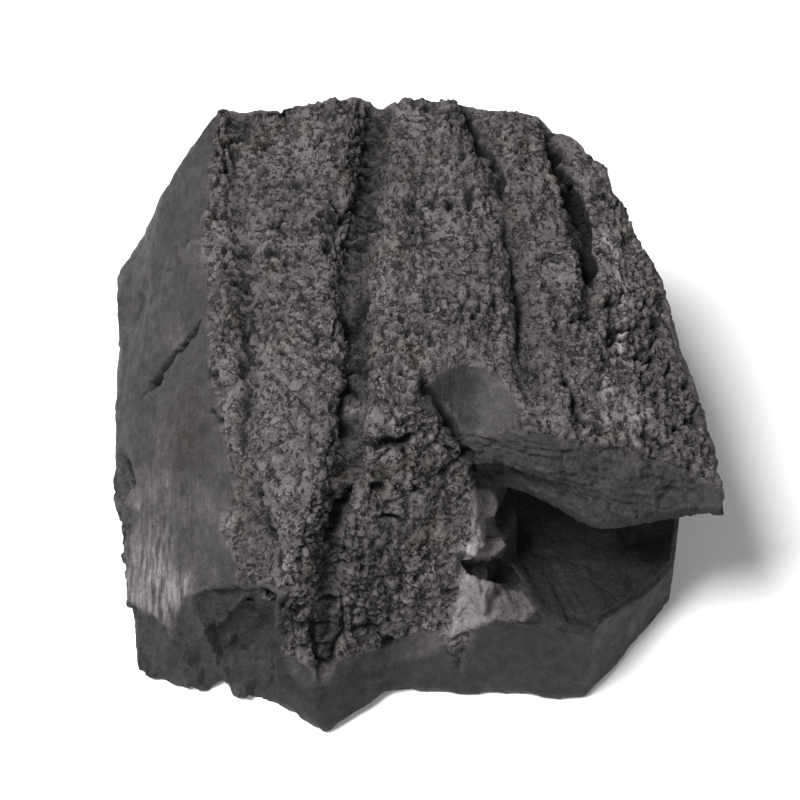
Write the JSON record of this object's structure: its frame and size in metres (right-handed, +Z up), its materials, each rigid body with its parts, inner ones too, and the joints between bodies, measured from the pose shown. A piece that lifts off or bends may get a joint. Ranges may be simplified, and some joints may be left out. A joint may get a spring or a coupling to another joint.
{
  "type": "charcoal lump",
  "caption": "Split block of hardwood charcoal with a cracked charred top, a smooth split side and a notched broken end.",
  "frame": {"origin": "under the middle of the lump's bounding box, on the flat split face it rests on", "axes": "+Z up, +Y along the wood grain towards the whole back end, -Y towards the broken and notched end, +X to the right seen from the broken end; the smooth split side faces -X"},
  "size_m": [0.1306, 0.1228, 0.0664],
  "materials": {
    "charcoal": "charred wood: dark grey, matt and finely cracked on top, satin on the split faces"
  },
  "bodies": {
    "root": {"charcoal_lump": "charcoal"}
  },
  "joints": []
}
